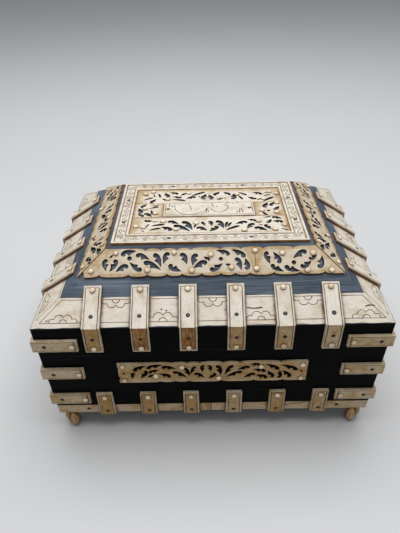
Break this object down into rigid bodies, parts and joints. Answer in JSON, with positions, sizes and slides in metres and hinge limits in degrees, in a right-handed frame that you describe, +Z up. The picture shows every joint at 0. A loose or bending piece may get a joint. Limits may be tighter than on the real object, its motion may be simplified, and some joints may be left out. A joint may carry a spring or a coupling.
{
  "type": "bone-clad casket",
  "caption": "Free-standing hip-roofed casket of black wood clad in pegged bone bands, straps and pierced fretwork, with a back-hinged lid and small feet.",
  "frame": {"origin": "on the table under the middle of the box", "axes": "+X along the front towards its right end, +Y from the front to the hinged back, +Z up"},
  "size_m": [0.3088, 0.2499, 0.1758],
  "materials": {
    "black_wood": "ebonised, waxed, lightly scratched",
    "plate_bone": "polished bone, engraved and stained",
    "fret_bone": "polished bone, fretsawn",
    "peg_bone": "polished bone",
    "foot_bone": "carved bone, darkened",
    "nail_iron": "rusted",
    "hinge_brass": "tarnished"
  },
  "bodies": {
    "base": {"base_back_board": "black_wood", "base_corner_straps": "plate_bone", "base_floor_board": "black_wood", "base_front_board": "black_wood", "base_left_board": "black_wood", "base_nails": "nail_iron", "base_pegs": "peg_bone", "base_right_board": "black_wood", "base_straps_back": "plate_bone", "base_straps_front": "plate_bone", "base_straps_left": "plate_bone", "base_straps_right": "plate_bone", "foot_back_left": "foot_bone", "foot_back_right": "foot_bone", "foot_front_left": "foot_bone", "foot_front_right": "foot_bone", "fret_panel_back": "fret_bone", "fret_panel_front": "fret_bone", "fret_panel_left": "fret_bone", "fret_panel_right": "fret_bone", "hinge_base_leaves": "hinge_brass", "hinge_base_screws": "hinge_brass", "hinge_pins": "hinge_brass", "plinth_band_back": "plate_bone", "plinth_band_front": "plate_bone", "plinth_band_left": "plate_bone", "plinth_band_right": "plate_bone"},
    "lid": {"eave_band_back": "plate_bone", "eave_band_front": "plate_bone", "eave_band_left": "plate_bone", "eave_band_right": "plate_bone", "lid_corner_straps": "plate_bone", "lid_nails": "nail_iron", "lid_pegs": "peg_bone", "lid_skirt_back": "black_wood", "lid_skirt_front": "black_wood", "lid_skirt_left": "black_wood", "lid_skirt_right": "black_wood", "lid_skirt_straps": "plate_bone", "lid_slope_back": "black_wood", "lid_slope_front": "black_wood", "lid_slope_left": "black_wood", "lid_slope_right": "black_wood", "lid_straps_back": "plate_bone", "lid_straps_front": "plate_bone", "lid_straps_left": "plate_bone", "lid_straps_right": "plate_bone", "lid_top_board": "black_wood", "slope_fret_back": "fret_bone", "slope_fret_front": "fret_bone", "slope_fret_left": "fret_bone", "slope_fret_right": "fret_bone", "top_frame": "plate_bone", "top_fret": "fret_bone", "top_plaque": "plate_bone", "hinge_lid_leaves": "hinge_brass", "hinge_lid_screws": "hinge_brass"}
  },
  "joints": [
    {"name": "lid_hinge", "type": "hinge", "parent": "base", "child": "lid", "pos_m": [0, 0.11756, 0.10505], "axis": [-1, 0, 0], "range_deg": [0, 100]}
  ]
}
